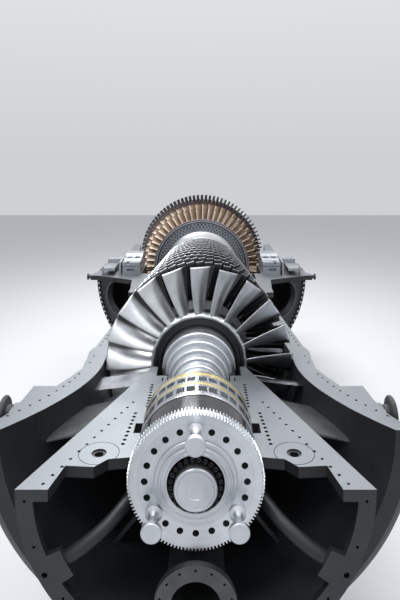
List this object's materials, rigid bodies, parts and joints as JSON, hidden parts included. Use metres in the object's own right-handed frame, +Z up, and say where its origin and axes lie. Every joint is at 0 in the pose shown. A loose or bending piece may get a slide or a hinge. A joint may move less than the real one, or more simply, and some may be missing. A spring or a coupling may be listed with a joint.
{
  "type": "heavy-duty gas turbine",
  "caption": "Heavy-duty gas turbine laid open for assembly: the bladed rotor turns in the lower half casings, which rest on two welded stands.",
  "frame": {"origin": "centre of the footprint of the whole machine on the floor", "axes": "X to the right seen from the air inlet, Y along the rotor from the inlet to the exhaust, Z up"},
  "size_m": [5.4, 12.297, 4.8017],
  "materials": {
    "casing_grey": "satin",
    "casing_dark": "matte",
    "machined_steel": "satin",
    "bright_steel": "satin",
    "dark_steel": "satin",
    "brass": "satin",
    "tan_coating": "matte",
    "grey_coating": "matte",
    "black_coating": "matte",
    "stand_paint": "satin"
  },
  "bodies": {
    "casing": {"inlet_outer_casing": "casing_grey", "inlet_inner_casing": "casing_grey", "inlet_struts": "casing_dark", "lower_nozzle": "casing_grey", "front_bearing": "machined_steel", "bearing_seal_rings": "brass", "inlet_guide_vanes": "machined_steel", "compressor_casing": "casing_dark", "compressor_vanes": "machined_steel", "combustor_casing": "casing_dark", "combustor_port_sleeves": "casing_dark", "turbine_casing": "casing_dark", "turbine_vanes": "tan_coating", "exhaust_casing": "casing_dark", "exhaust_struts": "casing_dark", "rear_bearing_housing": "casing_dark", "rear_bearing": "machined_steel", "left_joint_block": "machined_steel", "right_joint_block": "machined_steel", "inlet_trunnions": "casing_dark", "casing_trunnions": "casing_dark", "front_stand": "stand_paint", "rear_stand": "stand_paint"},
    "rotor": {"coupling_flange": "bright_steel", "coupling_pins": "bright_steel", "tie_rod_end": "bright_steel", "nose_bolt_ring": "dark_steel", "front_shaft": "bright_steel", "first_disc": "dark_steel", "first_row_blades": "machined_steel", "compressor_drum": "machined_steel", "compressor_rows_front": "machined_steel", "compressor_rows_middle": "machined_steel", "compressor_rows_rear": "machined_steel", "torque_tube": "bright_steel", "turbine_drum": "dark_steel", "turbine_row_1": "tan_coating", "turbine_row_2": "tan_coating", "turbine_row_3": "grey_coating", "turbine_row_4": "black_coating", "rear_shaft": "machined_steel"}
  },
  "joints": [
    {"name": "rotor_turn", "type": "hinge", "parent": "casing", "child": "rotor", "pos_m": [0, 0, 3.1], "axis": [0, 1, 0], "continuous": true}
  ]
}
